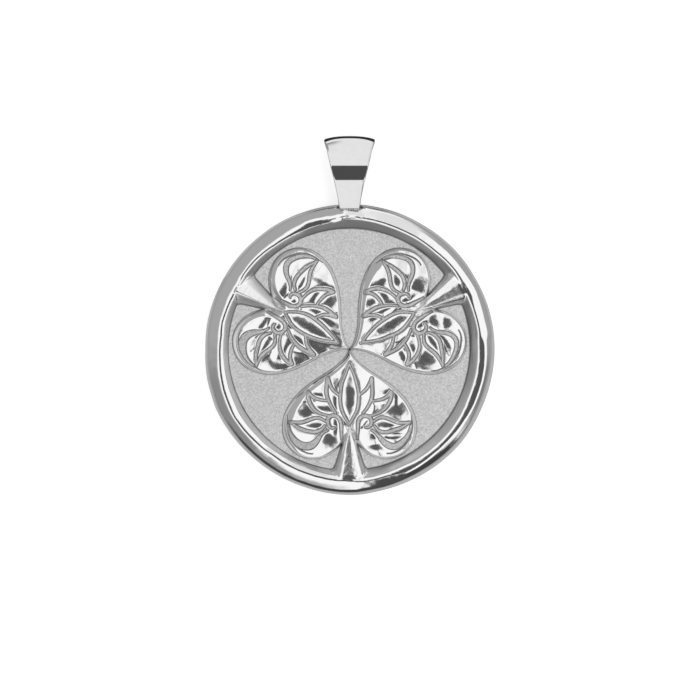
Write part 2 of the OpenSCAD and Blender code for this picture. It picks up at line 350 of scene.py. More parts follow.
def flow(knots, steps=12):
    """Points of cubic curves from knot to knot that keep each knot's heading, with half widths.

    A curve's handles are 2/3 of its chord / (1 + cos(turn / 2)) long, as on an arc of a circle.
    """
    points, widths = [], []
    for a, b in zip(knots, knots[1:]):
        p0, p3 = np.array(a[:2], float), np.array(b[:2], float)
        turn = abs((b[2] - a[2] + 540) % 360 - 180)
        reach = np.hypot(*(p3 - p0)) * 2 / 3 / (1 + math.cos(math.radians(turn / 2)))
        way_a, way_b = (
            np.array((math.cos(math.radians(k[2])), math.sin(math.radians(k[2])))) for k in (a, b)
        )
        p1, p2 = p0 + way_a * reach, p3 - way_b * reach
        t = np.linspace(0, 1, steps + 1)[(1 if points else 0):, None]
        points.append(
            (1 - t) ** 3 * p0 + 3 * t * (1 - t) ** 2 * p1 + 3 * t * t * (1 - t) * p2 + t ** 3 * p3
        )
        if len(a) > 3:
            widths.append(a[3] + (b[3] - a[3]) * ease(t[:, 0]))
    return np.vstack(points), np.concatenate(widths) if widths else None


def gap_to_line(across, out, line, widths=None, block=20000):
    """Distance from each point to a run of straight pieces, less the line's half width there.

    The points are worked out a block at a time, which keeps the arrays small.
    """
    a, b = line[:-1], line[1:]
    way = b - a
    length2 = (way ** 2).sum(1) + 1e-12
    if widths is None:
        widths = np.zeros(len(line))
    width_a, width_b = widths[:-1], widths[1:]
    points = np.stack((across.ravel(), out.ravel()), 1)
    result = np.empty(len(points))
    for start in range(0, len(points), block):
        p = points[start:start + block, None, :] - a[None]
        t = np.clip((p * way).sum(2) / length2, 0, 1)
        off = p - t[..., None] * way
        gap = np.hypot(off[..., 0], off[..., 1]) - width_a - (width_b - width_a) * t
        result[start:start + block] = gap.min(1)
    return result.reshape(across.shape)


def stem_rise(out, across, heading):
    """Height of a stem at a place on its leaf.

    Where t is the part of the way from its level line to its foot, the stem falls by height * t^p,
    and on its tilted side by (1 - tilt) * t^p + tilt * (sqrt(t^2 + r^2) - r) of its height.
    Past the foot it goes on falling at the foot's slope. Low ripples lie on it outside the notch.
    """
    level, power_low, power_high, tilt = STEM_SHAPE[heading][:4]
    foot = np.interp(out, STEM[:, 0], STEM[:, 1])
    height = np.interp(out, STEM[:, 0], STEM[:, 2])
    off = across - level * foot
    high_side = off > 0
    reach = np.where(high_side, 1 - level, 1 + level) * foot
    part = np.clip(np.abs(off) / reach, 0, 1)
    tilt = np.where(high_side, tilt, 0.0)
    fall = (1 - tilt) * part ** np.where(high_side, power_high, power_low)
    fall = fall + tilt * (np.sqrt(part ** 2 + TILT_ROUND ** 2) - TILT_ROUND)
    past = np.clip(np.abs(off) - reach, 0, STEM_PAST)
    rippled = STEM_RIPPLE * ripples(out, across, length=0.5, seed=80 + int(heading))
    height = height + rippled * ease(out - STEM_RIPPLE_FROM)
    rise = FIELD_H + height * (1.0 - fall) - FOOT_SLOPE * past
    return np.where(out > STEM[0, 0], rise, NOWHERE)


def leaf_place(x, y, heading):
    """A place on the coin as (out from the centre along a leaf's middle, across it)."""
    c, s = math.cos(math.radians(heading)), math.sin(math.radians(heading))
    return x * c + y * s, -x * s + y * c


def closed_skin(name, loops, material, marks=None):
    """A closed surface through closed loops of points, shaped (loops, around, 3) in millimetres.

    Neighbouring loops are joined by four-sided faces, and the first and last loop are closed
    by a fan to their mean point. If its volume comes out negative, the faces are turned round.
    marks holds a value for each point, by name, which is kept as an attribute.
    """
    rows, around, _ = loops.shape
    points = np.vstack((loops.reshape(-1, 3), loops[0].mean(0), loops[-1].mean(0))) * MM
    i, j = np.meshgrid(np.arange(rows - 1), np.arange(around), indexing="ij")
    k = (j + 1) % around
    here, next_row = i * around, (i + 1) * around
    quads = np.stack((here + j, next_row + j, next_row + k, here + k), -1).reshape(-1, 4)
    j = np.arange(around)
    k = (j + 1) % around
    first, last = rows * around, rows * around + 1
    end = (rows - 1) * around
    fans = np.vstack((
        np.stack((np.full(around, first), j, k), 1),
        np.stack((np.full(around, last), end + k, end + j), 1),
    ))
    tris = np.vstack((quads[:, :3], quads[:, [0, 2, 3]], fans))
    a, b, c = (points[tris[:, corner]] for corner in range(3))
    volume = np.einsum("ij,ij->i", a, np.cross(b, c)).sum()
    if volume < 0:
        quads, fans = quads[:, ::-1], fans[:, ::-1]
    corners = np.concatenate((quads.ravel(), fans.ravel()))
    sizes = np.concatenate((np.full(len(quads), 4), np.full(len(fans), 3)))
    starts = np.concatenate(([0], np.cumsum(sizes)[:-1]))
    mesh = bpy.data.meshes.new(name)
    mesh.vertices.add(len(points))
    mesh.vertices.foreach_set("co", points.astype(np.float32).ravel())
    mesh.loops.add(len(corners))
    mesh.loops.foreach_set("vertex_index", corners.astype(np.int32))
    mesh.polygons.add(len(sizes))
    mesh.polygons.foreach_set("loop_start", starts.astype(np.int32))
    mesh.update(calc_edges=True)
    mesh.validate()
    mesh.shade_smooth()
    for mark, values in (marks or {}).items():
        ends = [values[0].mean(), values[-1].mean()]
        flat = np.concatenate((values.ravel(), ends)).astype(np.float32)
        mesh.attributes.new(mark, "FLOAT", "POINT").data.foreach_set("value", flat)
    piece = bpy.data.objects.new(name, mesh)
    bpy.context.scene.collection.objects.link(piece)
    mesh.materials.append(material)
    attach(piece, "root")
    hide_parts(NODE)
    return piece


# Materials

class Nodes:
    """Short calls that add nodes to a node tree and join them."""

    def __init__(self, tree):
        self.tree = tree

    def add(self, kind, **settings):
        node = self.tree.nodes.new(kind)
        for key, value in settings.items():
            setattr(node, key, value)
        return node

    def join(self, source, target):
        self.tree.links.new(source, target)

    def feed(self, socket, value):
        if isinstance(value, bpy.types.NodeSocket):
            self.join(value, socket)
        elif value is not None:
            socket.default_value = value

    def math(self, operation, a, b=None, c=None):
        node = self.add("ShaderNodeMath", operation=operation)
        for socket, value in zip(node.inputs, (a, b, c)):
            self.feed(socket, value)
        return node.outputs[0]

    def span(self, value, low, high, to_low=0.0, to_high=1.0):
        """Eases from to_low at low to to_high at high. Low may be the larger."""
        node = self.add("ShaderNodeMapRange", interpolation_type="SMOOTHSTEP")
        for socket, given in zip(node.inputs, (value, low, high, to_low, to_high)):
            self.feed(socket, given)
        return node.outputs[0]

    def mix(self, share, a, b):
        node = self.add("ShaderNodeMix", data_type="RGBA")
        self.feed(node.inputs[0], share)
        self.feed(node.inputs[6], a)
        self.feed(node.inputs[7], b)
        return node.outputs[2]

    def noise(self, place, scale, detail=2.0, roughness=0.5):
        node = self.add("ShaderNodeTexNoise")
        self.feed(node.inputs["Vector"], place)
        node.inputs["Scale"].default_value = scale
        node.inputs["Detail"].default_value = detail
        node.inputs["Roughness"].default_value = roughness
        return node.outputs["Fac"]

    def place(self):
        """Where a point is on its piece."""
        return self.add("ShaderNodeTexCoord").outputs["Object"]

    def parts(self, vector):
        node = self.add("ShaderNodeSeparateXYZ")
        self.join(vector, node.inputs[0])
        return node.outputs

    def distance(self, x, y):
        """sqrt(x^2 + y^2)."""
        return self.math("SQRT", self.math("MULTIPLY_ADD", x, x, self.math("MULTIPLY", y, y)))

    def group(self, tree, **values):
        """A node group's outputs, with these values on its inputs."""
        node = self.add("ShaderNodeGroup", node_tree=tree)
        for key, value in values.items():
            node.inputs[key].default_value = value
        return node.outputs

    def attribute(self, name):
        return self.add("ShaderNodeAttribute", attribute_name=name).outputs["Fac"]

    def even_color(self, tone):
        node = self.add("ShaderNodeCombineColor")
        for socket in node.inputs[:3]:
            self.join(tone, socket)
        return node.outputs[0]

    def bump(self, height, distance, strength=1.0, normal=None):
        node = self.add("ShaderNodeBump")
        node.inputs["Distance"].default_value = distance
        self.feed(node.inputs["Strength"], strength)
        self.feed(node.inputs["Height"], height)
        if normal is not None:
            self.feed(node.inputs["Normal"], normal)
        return node.outputs["Normal"]


def grey(level):
    """An RGBA grey."""
    return (level, level, level, 1.0)


# Tones of polished silver, of satin silver, and of the dark painted in creases and at the feet of
# slopes, partly oxide and partly painted shade
POLISHED, SATIN, CREASE_OXIDE_AND_SHADE = grey(0.93), grey(0.50), grey(0.10)


def new_group(name, inputs, outputs):
    """A node group with these sockets, given as name: kind, with its nodes, source and sink."""
    tree = bpy.data.node_groups.new(name, "ShaderNodeTree")
    for in_out, sockets in (("INPUT", inputs), ("OUTPUT", outputs)):
        for socket, kind in sockets.items():
            tree.interface.new_socket(socket, in_out=in_out, socket_type="NodeSocket" + kind)
    n = Nodes(tree)
    return tree, n, n.add("NodeGroupInput"), n.add("NodeGroupOutput")


def hand_polish_group():
    """What polishing leaves: soft waves and fine scratches in two directions, as one height.

    A noise of scale 1000 has waves of about a millimetre.
    """
    tree, n, source, sink = new_group(
        "hand_polish", {"Waves": "Float", "Scratches": "Float"}, {"Height": "Float"}
    )
    place = n.place()
    waves = n.noise(place, scale=900.0)
    fine = []
    for turn, stretch in ((0.5, 9.0), (2.0, 7.0)):
        mapping = n.add("ShaderNodeMapping")
        n.join(place, mapping.inputs["Vector"])
        mapping.inputs["Rotation"].default_value = (0, 0, turn)
        mapping.inputs["Scale"].default_value = (1.0, stretch, 1.0)
        fine.append(n.noise(mapping.outputs[0], scale=2600.0, detail=3.0, roughness=0.6))
    scratches = n.math("MULTIPLY", n.math("ADD", *fine), source.outputs["Scratches"])
    height = n.math("MULTIPLY_ADD", waves, source.outputs["Waves"], scratches)
    n.join(height, sink.inputs["Height"])
    return tree


def sandblast_group():
    """Grain of a blasted surface: a height of fine pits, and a tone that varies with the grain."""
    tree, n, source, sink = new_group(
        "sandblast", {"Tone": "Float"}, {"Height": "Float", "Color": "Color"}
    )
    grain_contrast, patch_contrast = 0.90, 0.06
    place = n.place()
    grain = n.noise(place, scale=7000.0, roughness=0.7)
    patches = n.noise(place, scale=700.0)
    tone = source.outputs["Tone"]
    for noise, contrast in ((grain, grain_contrast), (patches, patch_contrast)):
        tone = n.math("MULTIPLY_ADD", n.math("SUBTRACT", noise, 0.5), contrast, tone)
    n.join(grain, sink.inputs["Height"])
    n.join(n.even_color(tone), sink.inputs["Color"])
    return tree


def new_silver(name):
    """A metal material, its nodes and its surface shader."""
    material = bpy.data.materials.new(name)
    material.use_nodes = True
    surface = material.node_tree.nodes["Principled BSDF"]
    surface.inputs["Metallic"].default_value = 1.0
    return material, Nodes(material.node_tree), surface


def cast_silver(groups, name, roughness, scratches, blast_tone):
    """Cast silver: bright where it is polished, satin on some slopes, grained where it is blasted.

    roughness and scratches are those of the polished places, blast_tone that of the blasted ones.
    The mesh brings three marks, the gaps in millimetres:
    line_gap is the distance to the edge of a blasted place, less than 0 in it,
    with a dark line painted at that edge, partly oxide and partly painted shade,
    edge_gap is the distance to the foot of a slope, with the same dark line painted there
    and, on satin slopes, a wider painted shade above it,
    and the satin mark is 1 where the slope is left satin and greyer; above 0.5 it greys the colour,
    which round the rim is a painted shade that changes with heading.
    """
    material, n, surface = new_silver(name)
    line_gap, edge_gap, satin_and_shade = map(n.attribute, ("line_gap", "edge_gap", "satin_and_shade"))
    polish = n.group(groups["hand_polish"], Waves=1.0, Scratches=scratches)
    blast = n.group(groups["sandblast"], Tone=blast_tone)
    blasted = n.span(line_gap, 0.030, -0.010)
    # A thin dark line beside each sunk line and at each slope's foot: partly oxide, partly painted
    # shade
    line_oxide_and_shade = n.span(n.math("ABSOLUTE", line_gap), 0.060, 0.015, 0.0, 0.66)
    foot_oxide_and_shade = n.span(edge_gap, 0.12, 0.03, 0.0, 0.74)
    # Painted shade: satin slopes are darkened towards their foot, over 0.6 mm, where the corner is
    # shaded
    painted_foot_shade = n.math("MULTIPLY", n.span(edge_gap, 0.60, 0.05, 0.0, 0.24), satin_and_shade)
    # Above 0.5 the satin mark greys the colour: round the rim this is a painted shade that changes
    # with heading
    color = n.mix(n.span(satin_and_shade, 0.5, 1.0), POLISHED, SATIN)
    color = n.mix(painted_foot_shade, color, CREASE_OXIDE_AND_SHADE)
    color = n.mix(blasted, color, blast["Color"])
    color = n.mix(n.math("MAXIMUM", line_oxide_and_shade, foot_oxide_and_shade), color, CREASE_OXIDE_AND_SHADE)
    n.join(color, surface.inputs["Base Color"])
    blasted_roughness = n.span(blasted, 0.1, 0.9, roughness, 0.50)
    satin_roughness = n.span(satin_and_shade, 0.0, 0.5, 0.0, 0.40)
    rough = n.math("MAXIMUM", blasted_roughness, satin_roughness)
    n.join(rough, surface.inputs["Roughness"])
    smooth = n.bump(polish["Height"], distance=0.000005)
    grained = n.math("MAXIMUM", blasted, n.math("MULTIPLY", satin_and_shade, 0.5))
    finish = n.bump(blast["Height"], distance=0.00003, strength=grained, normal=smooth)
    n.join(finish, surface.inputs["Normal"])
    return material


def bail_silver(groups):
    """The bail's drawn strip, smoother and a little greyer than the casting."""
    material, n, surface = new_silver("bail_silver")
    polish = n.group(groups["hand_polish"], Waves=0.5, Scratches=0.05)
    cloudy = n.noise(n.place(), scale=1500.0, detail=3.0)
    tone = n.span(cloudy, 0.3, 0.7, 0.755, 0.775)
    n.join(n.even_color(tone), surface.inputs["Base Color"])
    surface.inputs["Roughness"].default_value = 0.03
    n.join(n.bump(polish["Height"], distance=0.000001), surface.inputs["Normal"])
    return material


def solder_silver(groups):
    """Solder: dull, grey and lumpy."""
    material, n, surface = new_silver("solder_silver")
    blast = n.group(groups["sandblast"], Tone=0.55)
    n.join(blast["Color"], surface.inputs["Base Color"])
    surface.inputs["Roughness"].default_value = 0.28
    lumps = n.noise(n.place(), scale=3500.0, detail=3.0)
    n.join(n.bump(lumps, distance=0.00004), surface.inputs["Normal"])
    return material


# Coin

def rim_profile(inward, outward, reach_in, reach_out, flat, power, soft):
    """Height of the rim at a distance inward or outward of its crest.

    Inward it falls by 0.2 x sqrt(x / soft) over its soft width, to a slope of 0.3. The distance t
    beyond that adds 0.3 t + sqrt((m t)^2 + b^2) - b, which meets the field at reach_in.
    Outward it stays level over its flat, and then rounds down to the coin's side: at the part s
    of the way, (1 - s^power)^(1/power) of its height above the side is left.
    """
    near = np.minimum(inward, soft)
    t = inward - near
    rest = reach_in - soft
    left = RIM_H - FIELD_H - SOFT_FALL * soft - FIRST_SLOPE * rest
    m = np.sqrt(left * left + 2 * left * SLOPE_BEND) / rest
    bent = np.sqrt((m * t) ** 2 + SLOPE_BEND * SLOPE_BEND) - SLOPE_BEND
    drop_in = SOFT_FALL * near * np.sqrt(near / soft) + FIRST_SLOPE * t + bent
    s = np.clip((outward - flat) / (reach_out - flat), 0, 1)
    drop_out = (RIM_H - SIDE_H) * (1 - (1 - s ** power) ** (1 / power))
    return RIM_H - np.where(outward > 0, drop_out, drop_in)


def rim_at(heading):
    """The rim's measures at each column's heading in degrees, averaged over a few columns."""
    blur = np.ones(RIM_BLUR) / RIM_BLUR
    measures = []
    for column in range(1, RIM.shape[1]):
        read = np.interp(heading, RIM[:, 0], RIM[:, column])
        measures.append(np.convolve(np.pad(read, RIM_BLUR // 2, mode="wrap"), blur, mode="valid"))
    return measures


def coin_radii(crest_r, edge_r, middle=5, field=40, slope=34, side=26):
    """Radius of each loop of the coin's front at each column.

    Rings on the field, even steps up the inner slope to the crest,
    and outside it crest_r + (edge_r - crest_r) * sin(turn) for even turns of a quarter.
    """
    rings = np.concatenate((
        np.linspace(POLE_R, MIDDLE_TO, middle), np.linspace(FIELD_FROM, FIELD_TO, field)
    ))
    rings = np.repeat(rings[:, None], len(crest_r), 1)
    climbing = SLOPE_FROM + np.linspace(0, 1, slope)[:, None] * (crest_r - SLOPE_FROM)
    turn = np.radians(np.linspace(0, 90, side))[1:, None]
    return np.vstack((rings, climbing, crest_r + (edge_r - crest_r) * np.sin(turn)))


def coin_stems(x, y, inner):
    """Height of the highest stem inside the crest, and up to what height it is left satin."""
    stems = np.full(x.shape, NOWHERE)
    satin_up_to = np.zeros(x.shape)
    for lean in LEAF_HEADINGS:
        out, across = leaf_place(x, y, lean)
        rise = np.where((out > STEM_START) & inner, stem_rise(out, across, lean), NOWHERE)
        level, *_, low_side, high_side = STEM_SHAPE[lean]
        off_level = across - level * np.interp(out, STEM[:, 0], STEM[:, 1])
        side = np.where(off_level > 0, high_side, low_side)
        satin_up_to = np.where(rise > stems, side, satin_up_to)
        stems = np.maximum(stems, rise)
    return stems, satin_up_to


def hand_finish(x, y, lower):
    """What the hand left on the rim, as two changes of height.

    The first is long and short ripples. The second is a bell-shaped mound of solder at the bail's
    foot, less how much lower the crest is, and finer ripples where it was soldered.
    """
    rough = 0.009 * ripples(x, y, length=2.6, seed=5) + 0.003 * ripples(x, y, length=0.9, seed=6)
    height, spread, shift = MOUND
    mound = height * np.exp(-((x + shift) ** 2 + (y - SOLDER_Y) ** 2) / spread)
    reach, fading = 3.0, 1.2
    soldered = ease((reach - np.hypot(x, y - SOLDER_Y)) / fading)
    fine = 0.008 * ripples(x, y, length=0.9, seed=7) + 0.005 * ripples(x, y, length=0.4, seed=8)
    return rough, mound - lower + soldered * fine


def coin_under(angle, edge_out, back_r=9.0):
    """Loops of the coin's side and back: down, round a quarter circle, and flat to the middle."""
    ring = np.stack((np.cos(angle), np.sin(angle)), -1)
    turn = np.radians(np.linspace(0, 90, 6))
    radii = np.concatenate((
        (COIN_R,), COIN_R - BACK_ROUND + BACK_ROUND * np.cos(turn), (back_r, POLE_R)
    ))[:, None, None]
    heights = np.concatenate((
        (SIDE_H * 0.7,), BACK_ROUND - BACK_ROUND * np.sin(turn), (0.0, 0.0)
    ))[:, None, None]
    radii = radii + np.where(radii > back_r, 1.0, 0.0) * edge_out[:, None]
    return np.concatenate((radii * ring, np.broadcast_to(heights, radii.shape)), -1)


def make_coin(material, around=860):
    """The coin's skin: loops from the middle of the field over the rim, down its side and under it.

    The columns' headings are a - 0.17 sin(3 (a - a0)), so they stand closer together at the stems.
    The height is the rim's profile with its hand finish, or a stem's height where that is larger,
    with a rounded corner between them and at the field.
    The satin starts a little inside the crest, and lies on a stem's side up to a height.
    It is polished away where a stem runs into the rim.
    """
    step = np.arange(around) * 2 * math.pi / around
    angle = step - CROWDING * np.sin(3 * (step - math.radians(LEAF_HEADINGS[0])))
    crest_r, field_r, flat, power, soft, satin, edge_out, lower = rim_at(np.degrees(angle) % 360)
    edge_r = COIN_R + edge_out
    radii = coin_radii(crest_r, edge_r)
    inward, outward = np.clip(crest_r - radii, 0, None), np.clip(radii - crest_r, 0, None)
    height = rim_profile(
        inward, outward, crest_r - field_r, edge_r - crest_r, flat, power, soft
    )
    x, y = radii * np.cos(angle), radii * np.sin(angle)
    uneven = ease((radii - field_r) / 0.5) * ease((edge_r - radii) / 0.2)
    for finish in hand_finish(x, y, lower):
        height = height + uneven * finish
    inner = radii < crest_r + 0.01
    stems, satin_up_to = coin_stems(x, y, inner)
    raised = inner & (stems > FIELD_H - STEM_NEAR)

    high_up, low_down = STEM_CORNER
    corner = high_up + low_down * ease((FIELD_H + 0.80 - np.maximum(height, stems)) / 0.6)
    corner = corner * ease((stems - FIELD_H + STEM_NEAR) / 0.5)
    raw = np.where(raised, soft_max(height, stems, corner), height)
    z = np.where(inner, soft_max(raw, FIELD_H, FIELD_CORNER) - FIELD_SUNK, raw)
    z = np.where((radii < LEVEL_R) & (stems < FIELD_H - 0.3), FIELD_H, z)

    above = raw - FIELD_H
    line_gap = np.where(radii > crest_r, FAR, above / FOOT_SLOPE)
    on_slope = ease((crest_r - 0.8 * soft - radii) / (0.04 + 0.65 * soft))
    limit = satin_up_to + 0.03 * ripples(x, y, length=0.35, seed=9)
    on_side = ease((limit - above) / 0.15)
    stem_satin = STEM_SATIN[0] + STEM_SATIN[1] * on_side
    # The rim's satin by heading also paints a shade: above 0.5 it greys the slope, darker round the
    # upper half
    satin_and_shade = np.where(raised & (stems > height), stem_satin, satin * on_slope)
    joint = ease(1.15 - np.abs(stems - height) / 0.40) * ease((above - 0.30) / 0.35)
    satin_and_shade = satin_and_shade * ease(line_gap / 0.05) * (1 - JOINT_POLISH * joint)

    under = coin_under(angle, edge_out)
    rest = np.full(under.shape[:2], FAR)
    marks = {
        "line_gap": np.vstack((line_gap, rest)),
        "edge_gap": np.vstack((np.abs(line_gap), rest)),
        "satin_and_shade": np.vstack((satin_and_shade, rest * 0)),
    }
    loops = np.concatenate((np.stack((x, y, z), -1), under))
    return closed_skin("rim_and_field", loops, material, marks)


# Leaves

def leaf_edge(count):
    """Points at equal steps round a whole leaf, as across and out, from its tip and back to it."""
    half, _ = flow(HALF_LEAF, 40)
    whole = np.vstack((half, (half * (-1, 1))[::-1][1:-1]))
    closed = np.vstack((whole, whole[:1]))
    length = np.concatenate(([0], np.cumsum(np.hypot(*np.diff(closed, axis=0).T))))
    at = np.arange(count) * length[-1] / count
    return np.stack([np.interp(at, length, closed[:, side]) for side in (0, 1)], 1)


def pillow_top(across, out, pillows):
    """Height of a leaf's top: the highest of its pillows, each a rounded cone that is level on top.

    A pillow falls by slope * size * (sqrt(d^2 + k^2) - k), where d is the distance from its middle
    in half sizes, from a start on a shallow dome. Blended, the highest is b * log(sum(exp(h / b))).
    """
    total = np.zeros(across.shape)
    for middle_v, middle_u, half_v, half_u in pillows:
        half_v, half_u = half_v * PILLOW_GROWTH, half_u * PILLOW_GROWTH
        size = math.sqrt(half_v * half_u)
        d2 = ((across - middle_v) / half_v) ** 2 + ((out - middle_u) / half_u) ** 2
        start = LEAF_TOP - (middle_v ** 2 + (middle_u - LEAF_MIDDLE) ** 2) / (2 * DOME_R)
        fall = PILLOW_SLOPE * size * (np.sqrt(d2 + PILLOW_ROUND * PILLOW_ROUND) - PILLOW_ROUND)
        total += np.exp((start - LEAF_TOP - fall) / PILLOW_BLEND)
    return LEAF_TOP + PILLOW_BLEND * np.log(total)


def palmette_gap(across, out, number, heading):
    """Distance to the edge of the nearest sunk line, less than 0 in it.

    Half a palmette's lines serve both halves, with every place shifted a little so that they waver.
    """
    across_w = np.abs(across + LINE_WAVER * ripples(across, out, length=2.2, seed=20 + number))
    out_w = out + LINE_WAVER * ripples(across, out, length=2.2, seed=30 + number)
    nearest = np.full(across.shape, FAR)
    for part, knots in HALF_PALMETTE.items():
        line, widths = flow(knots)
        gap = gap_to_line(across_w, out_w, line, widths)
        if part == "curl":
            wider = np.where(across < 0, *CURL_WIDER[heading])
            away = np.hypot(across_w - CURL_AT[0], out_w - CURL_AT[1])
            gap = gap - wider * ease((CURL_REACH[0] - away) / CURL_REACH[1])
        nearest = np.minimum(nearest, gap)
    return nearest


def flank_width(out, edge, heading):
    """Width of a leaf's flank by the distance out, narrower where its edge faces down and right."""
    way = np.roll(edge, -1, 0) - np.roll(edge, 1, 0)
    facing = heading + np.degrees(np.arctan2(way[:, 1], -way[:, 0]))
    narrow = ease((np.cos(np.radians(facing - NARROW_FACING)) + 0.55) / 0.6)
    return np.interp(out, FLANKS[:, 0], FLANKS[:, 1]) * (1 - NARROWER * narrow)


def make_leaf(number, heading, material, around=800, rows=118, crowding=0.92, join=0.05):
    """A heart leaf as loops that grow from its middle to its edge and end under the field.

    Its pillowed top falls down its flank by (1 - c)^2, where c is the part of the flank climbed.
    The sunk lines are taken off, with a little more beside each of them, as polishing leaves it,
    and where the stem is higher the leaf takes the stem's height, with a rounded corner.
    The loops stand a little closer together at the edge.
    """
    middle = np.array((0.0, LEAF_MIDDLE))
    edge = leaf_edge(around)
    share = np.linspace(0.01, 1.0, rows) ** crowding
    place = middle + share[:, None, None] * (edge - middle)
    across, out = place[..., 0], place[..., 1]
    half, _ = flow(HALF_LEAF, 16)
    edge_gap = gap_to_line(np.abs(across), out, half)
    line_gap = palmette_gap(across, out, number, heading)

    climb = np.clip(edge_gap / flank_width(out, edge, heading), 0, 1)
    z = FIELD_H + (pillow_top(across, out, PILLOWS[heading]) - FIELD_H) * (1 - (1 - climb) ** 2)
    z = z - LINE_ROUND[0] * np.exp(-np.clip(line_gap, 0, None) / LINE_ROUND[1])
    z = z - LINE_DEPTH * ease(0.5 - line_gap / LINE_SIDE) * ease(edge_gap / LINE_FADE)
    z = (
        z + 0.004 * ripples(across, out, length=1.1, seed=40 + number)
        + 0.0009 * ripples(across, out, length=0.45, seed=50 + number)
    )
    rise = stem_rise(out, across, heading)
    on_stem = ease((rise - z + join) / 0.08)
    z = np.where(rise > z - 0.2, soft_max(z, rise, join), z)
    z[-1] = FIELD_H - 0.02

    c, s = math.cos(math.radians(heading)), math.sin(math.radians(heading))
    skin = np.stack((out * c - across * s, out * s + across * c, z), -1)
    below = skin[-1:].copy()
    below[..., 2] = FIELD_H - 0.25
    marks = {
        "line_gap": line_gap + 2.0 * on_stem,
        "edge_gap": edge_gap + 2.0 * on_stem,
        "satin_and_shade": 0.5 * on_stem,
    }
    marks = {mark: np.concatenate((values, values[-1:])) for mark, values in marks.items()}
    return closed_skin(f"heart_leaf_{number}", np.concatenate((skin, below)), material, marks)


# Bail

def bail_path(front=150, fold=110, back=40):
    """Outer line of the folded strip seen from the side, and the way that is outward there.

    From the front foot round to the back: a gentle arc for the front leg, a tight one for the fold,
    and a straight back leg. Both arcs are middle + radius * (sin, cos) of the lean.
    """
    meet = math.asin(CREST_OFF / (LEG_R - FOLD_R))
    low = -math.asin((CREST_Y - FOOT_Y) / LEG_R)
    lean = np.linspace(low, meet, front)
    leg = np.stack((CREST_Y + LEG_R * np.sin(lean), LEG_Z + LEG_R * np.cos(lean)), 1)
    turn = np.linspace(meet, math.pi, fold)[1:]
    round_top = np.stack((FOLD_Y + FOLD_R * np.sin(turn), FOLD_R + FOLD_R * np.cos(turn)), 1)
    down = np.linspace(FOLD_Y, COIN_R - BACK_LAP, back)[1:]
    path = np.vstack((leg, round_top, np.stack((down, np.zeros(back - 1)), 1)))
    lean = np.concatenate((lean, turn, np.full(back - 1, math.pi)))
    return path, np.stack((np.sin(lean), np.cos(lean)), 1)


def bail_half_width(share):
    """Half width at a part of the length above the foot, with its corners at the knots rounded.

    Between the foot and the fold it is read from the averages over eleven of 201 even steps.
    """
    knots, widths = BAIL_WIDTHS.T
    foot_to, fold_from = 0.05, 0.93
    steps, span = np.linspace(0, 1, 201), 11
    padded = np.pad(np.interp(steps, knots, widths), span // 2, mode="edge")
    averages = np.convolve(padded, np.ones(span) / span, mode="valid")
    between = (share > foot_to) & (share < fold_from)
    return np.where(between, np.interp(share, steps, averages), np.interp(share, knots, widths))


def make_bail(material, flat=24, bend=7):
    """A strip with rounded edges along the bail's side view, as wide as its front view says.

    Its top sinks by rise * |x / half width|^2.6 towards the ends of the fold.
    """
    path, outward = bail_path()
    line = np.linspace(-1, 1, flat)[1:-1]
    turn = np.radians(np.linspace(0, 90, bend))
    up, down = np.sin(turn), np.cos(turn)
    level, one = line * 0, np.ones(bend)
    part = np.concatenate((line, one, one, -line, -one, -one))
    extra = np.concatenate((level, up, down, level, -up, -down)) * EDGE_ROUND
    inner = STRIP_T - EDGE_ROUND
    depth = np.concatenate((
        level, EDGE_ROUND * (1 - down), inner + EDGE_ROUND * up,
        level + STRIP_T, inner + EDGE_ROUND * down, EDGE_ROUND * (1 - up),
    ))
    y = path[:, :1] - depth * outward[:, :1]
    z = path[:, 1:] - depth * outward[:, 1:]
    half_w = bail_half_width(np.clip((y - FOOT_Y) / (TOP_Y - FOOT_Y), 0, 1))
    x = part * (half_w - EDGE_ROUND) + extra
    near_top = ease((path[:, :1] - (TOP_Y - 1.3)) / 1.2)
    y = y - TOP_RISE * np.abs(x / BAIL_HALF_W) ** TOP_POWER * near_top
    return closed_skin("tapered_bail", np.stack((x, y, np.maximum(z, 0.0)), -1), material)


def make_solder(material, count=60, around=24):
    """A lumpy bead along the lower edge of the bail's foot: a round section along x.

    Its radius is R sqrt(1 - (x / half length)^2), and swells and shrinks by about a third.
    """
    x = np.linspace(-BEAD_HALF, BEAD_HALF, count)
    full = np.sqrt(np.clip(1 - (x / (BEAD_HALF + 0.02)) ** 2, 0.01, 1))
    size = (BEAD_R * full * (1 + 0.35 * ripples(x, x * 0, length=0.5, seed=60)))[:, None]
    turn = np.arange(around) * 2 * math.pi / around
    wander = 0.05 * ripples(x, x * 0, length=0.7, seed=61)[:, None]
    y = FOOT_Y - 0.02 + size * np.cos(turn) * BEAD_WIDE + wander
    z = BEAD_Z + size * np.sin(turn) * BEAD_HIGH
    loops = np.stack((np.repeat(x[:, None], around, 1), y, z), -1)
    return closed_skin("solder_seam", loops, material)


